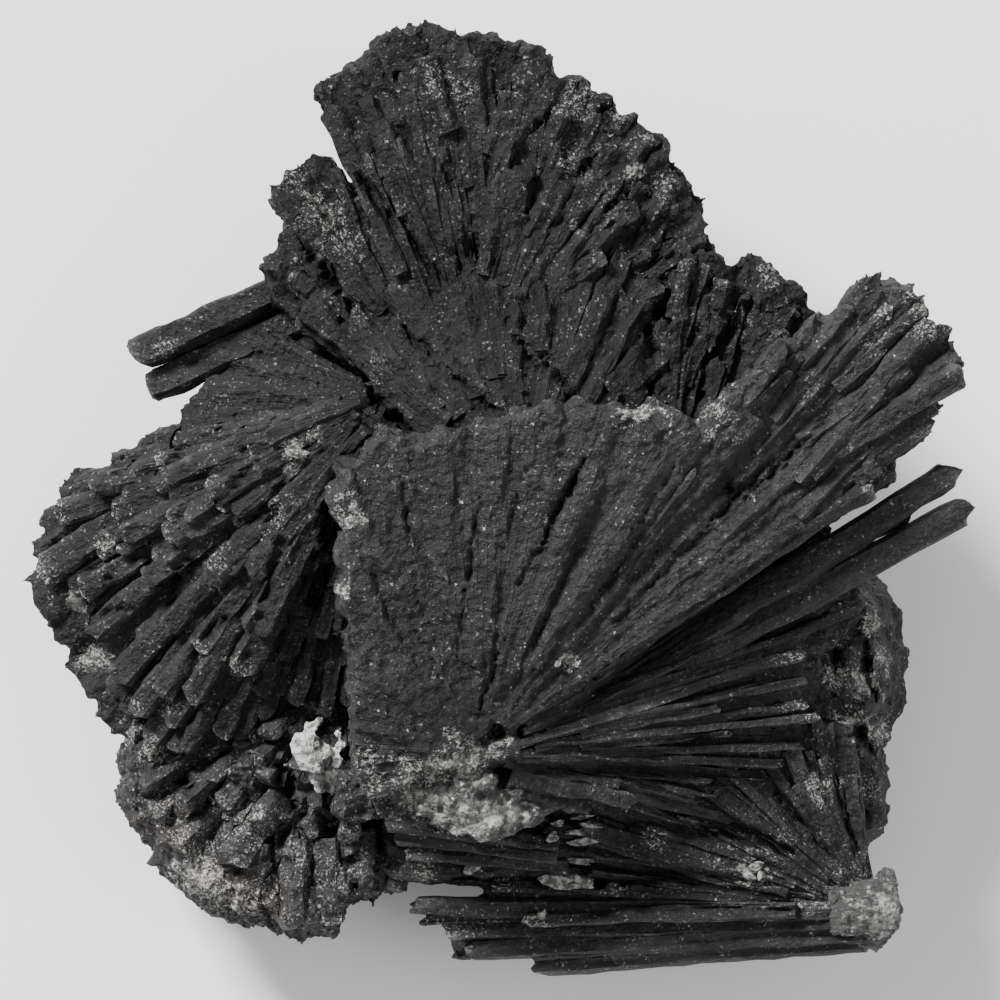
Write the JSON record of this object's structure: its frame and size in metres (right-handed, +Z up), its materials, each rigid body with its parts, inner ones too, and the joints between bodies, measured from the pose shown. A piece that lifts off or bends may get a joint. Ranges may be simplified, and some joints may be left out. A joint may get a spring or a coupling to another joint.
{
  "type": "black kyanite cluster",
  "caption": "Cluster of intergrown black kyanite: fans of flat striated blades spreading from several roots, with pale mica and quartz between them, lying on a broken flat base.",
  "frame": {"origin": "under the middle of the cluster, on the surface it lies on", "axes": "+Z up, out of the side the picture shows; +Y to the top of the picture; +X to its right"},
  "size_m": [0.0966, 0.0976, 0.0435],
  "materials": {
    "black_kyanite": "matte charcoal black with fine grooves along the blades and small bright specks",
    "pale_mica_quartz": "pale grey, grainy and flaky with bright glints"
  },
  "bodies": {
    "root": {"kyanite_cluster": "black_kyanite", "root_quartz": "pale_mica_quartz", "side_quartz": "pale_mica_quartz", "corner_quartz": "pale_mica_quartz"}
  },
  "joints": []
}
